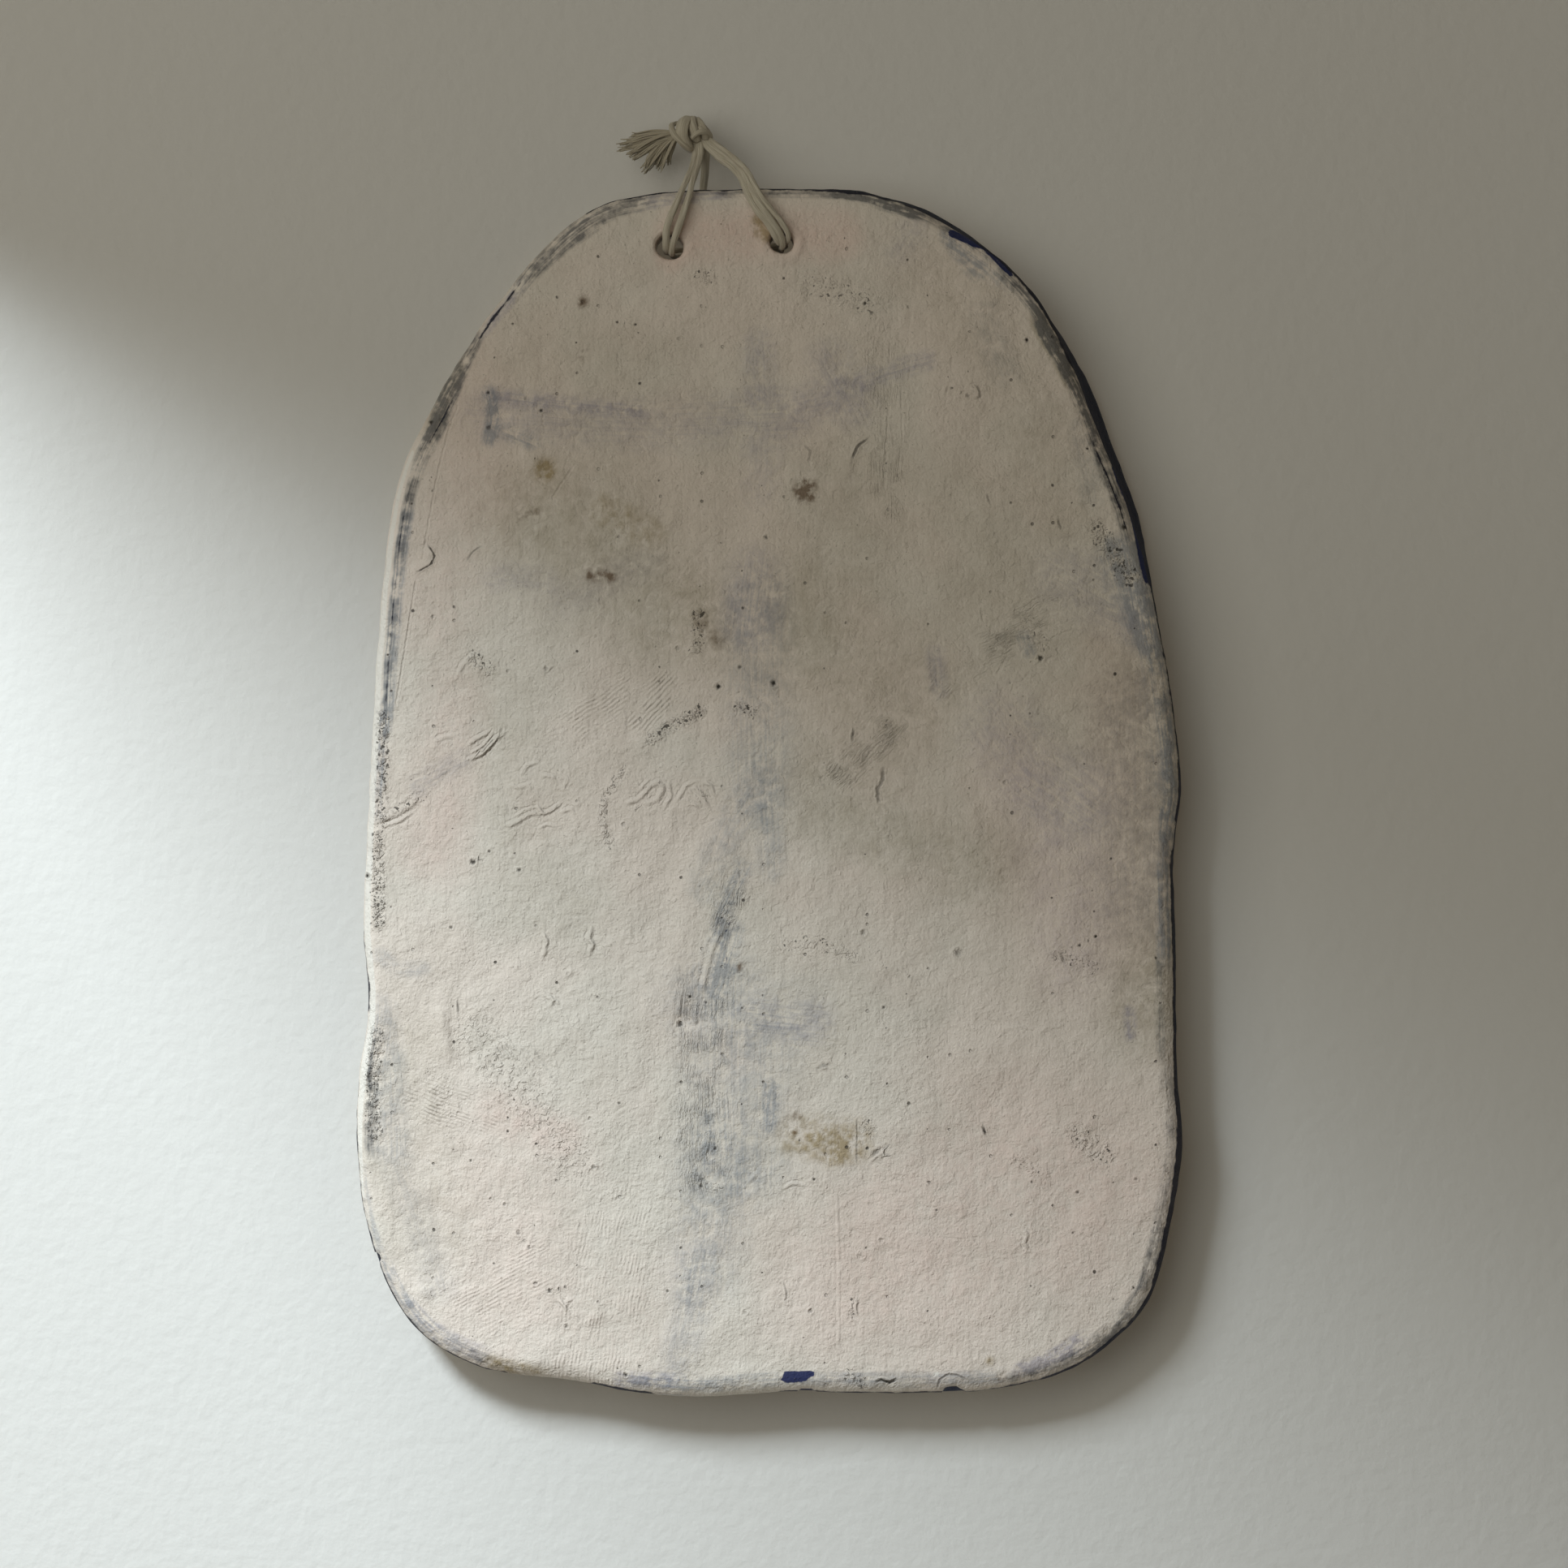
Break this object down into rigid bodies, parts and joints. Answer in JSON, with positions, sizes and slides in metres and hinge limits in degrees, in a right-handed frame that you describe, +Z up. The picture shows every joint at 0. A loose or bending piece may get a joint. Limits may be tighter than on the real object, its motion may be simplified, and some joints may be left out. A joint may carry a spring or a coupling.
{
  "type": "wall plaque",
  "caption": "Hand-cut ceramic wall plaque with a rounded crown, softened uneven edges and poked holes, hung by a short knotted cotton cord.",
  "frame": {"origin": "the point of the wall where the cord hangs from its nail, in the plane of the wall", "axes": "+Z up, +Y into the wall, so the painted face looks along -Y; +X to the right as the face is seen"},
  "size_m": [0.0926, 0.01, 0.1432],
  "materials": {
    "fired_clay": "matte fired clay brushed with pale slip over blue underglaze",
    "cotton_yarn": "soft undyed cotton, loosely spun"
  },
  "bodies": {
    "root": {"slab": "fired_clay", "hanging_cord": "cotton_yarn", "back_yarn": "cotton_yarn", "cord_knot": "cotton_yarn"}
  },
  "joints": []
}
